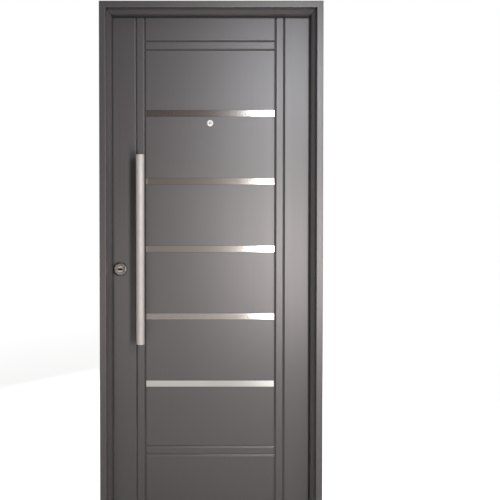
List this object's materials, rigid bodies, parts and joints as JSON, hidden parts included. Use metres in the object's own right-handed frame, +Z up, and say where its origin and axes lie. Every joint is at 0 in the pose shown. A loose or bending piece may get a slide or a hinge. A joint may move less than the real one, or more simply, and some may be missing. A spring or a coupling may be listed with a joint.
{
  "type": "front door with frame",
  "caption": "Inward-opening steel front door in a stepped sheet-steel frame: pressed grooves, level metal inlay strips, an upright pull bar, a round key plate and a peephole.",
  "frame": {"origin": "centre of the sill's flat underside, at floor level and at half the frame's depth", "axes": "+X to the right as seen from outside (towards the hinges), +Y into the house, +Z up"},
  "size_m": [0.86, 0.1825, 2.05],
  "materials": {
    "painted_steel": "graphite grey powder coat, satin",
    "sill_aluminium": "natural anodised",
    "seal_rubber": "black foam rubber, matt",
    "hinge_steel": "satin",
    "rigid_foam": "rigid foam, matt",
    "rail_timber": "planed softwood",
    "polished_stainless": "bright, finely ground",
    "brushed_stainless": "brushed along its length",
    "zinc_steel": "zinc plated",
    "nickel_plate": "satin nickel",
    "lens_glass": "polished"
  },
  "bodies": {
    "frame": {"frame_head": "painted_steel", "frame_jamb_lock": "painted_steel", "frame_jamb_hinge": "painted_steel", "sill": "sill_aluminium", "strike": "brushed_stainless", "seal_head": "seal_rubber", "seal_lock": "seal_rubber", "seal_hinge": "seal_rubber", "seal_sill": "seal_rubber", "hinge_frame_1": "hinge_steel", "hinge_frame_2": "hinge_steel", "hinge_frame_3": "hinge_steel"},
    "leaf": {"skin_outer": "painted_steel", "skin_inner": "painted_steel", "core": "rigid_foam", "rail_lock": "rail_timber", "rail_hinge": "rail_timber", "rail_top": "rail_timber", "rail_bottom": "rail_timber", "strip_1": "polished_stainless", "strip_2": "polished_stainless", "strip_3": "polished_stainless", "strip_4": "polished_stainless", "strip_5": "polished_stainless", "pull_tube": "brushed_stainless", "pull_caps": "brushed_stainless", "pull_posts": "brushed_stainless", "pull_nuts": "brushed_stainless", "lock_case": "zinc_steel", "lock_faceplate": "brushed_stainless", "lock_bolts": "zinc_steel", "key_rose_outer": "brushed_stainless", "key_barrel": "nickel_plate", "key_rose_inner": "brushed_stainless", "lever": "brushed_stainless", "peephole": "nickel_plate", "peephole_lens": "lens_glass", "peephole_inner": "nickel_plate", "hinge_leaf_1": "hinge_steel", "hinge_leaf_2": "hinge_steel", "hinge_leaf_3": "hinge_steel"}
  },
  "joints": [
    {"name": "leaf_hinge", "type": "hinge", "parent": "frame", "child": "leaf", "pos_m": [0.4115, 0.0725, 0], "axis": [0, 0, -1], "range_deg": [0, 100]}
  ]
}
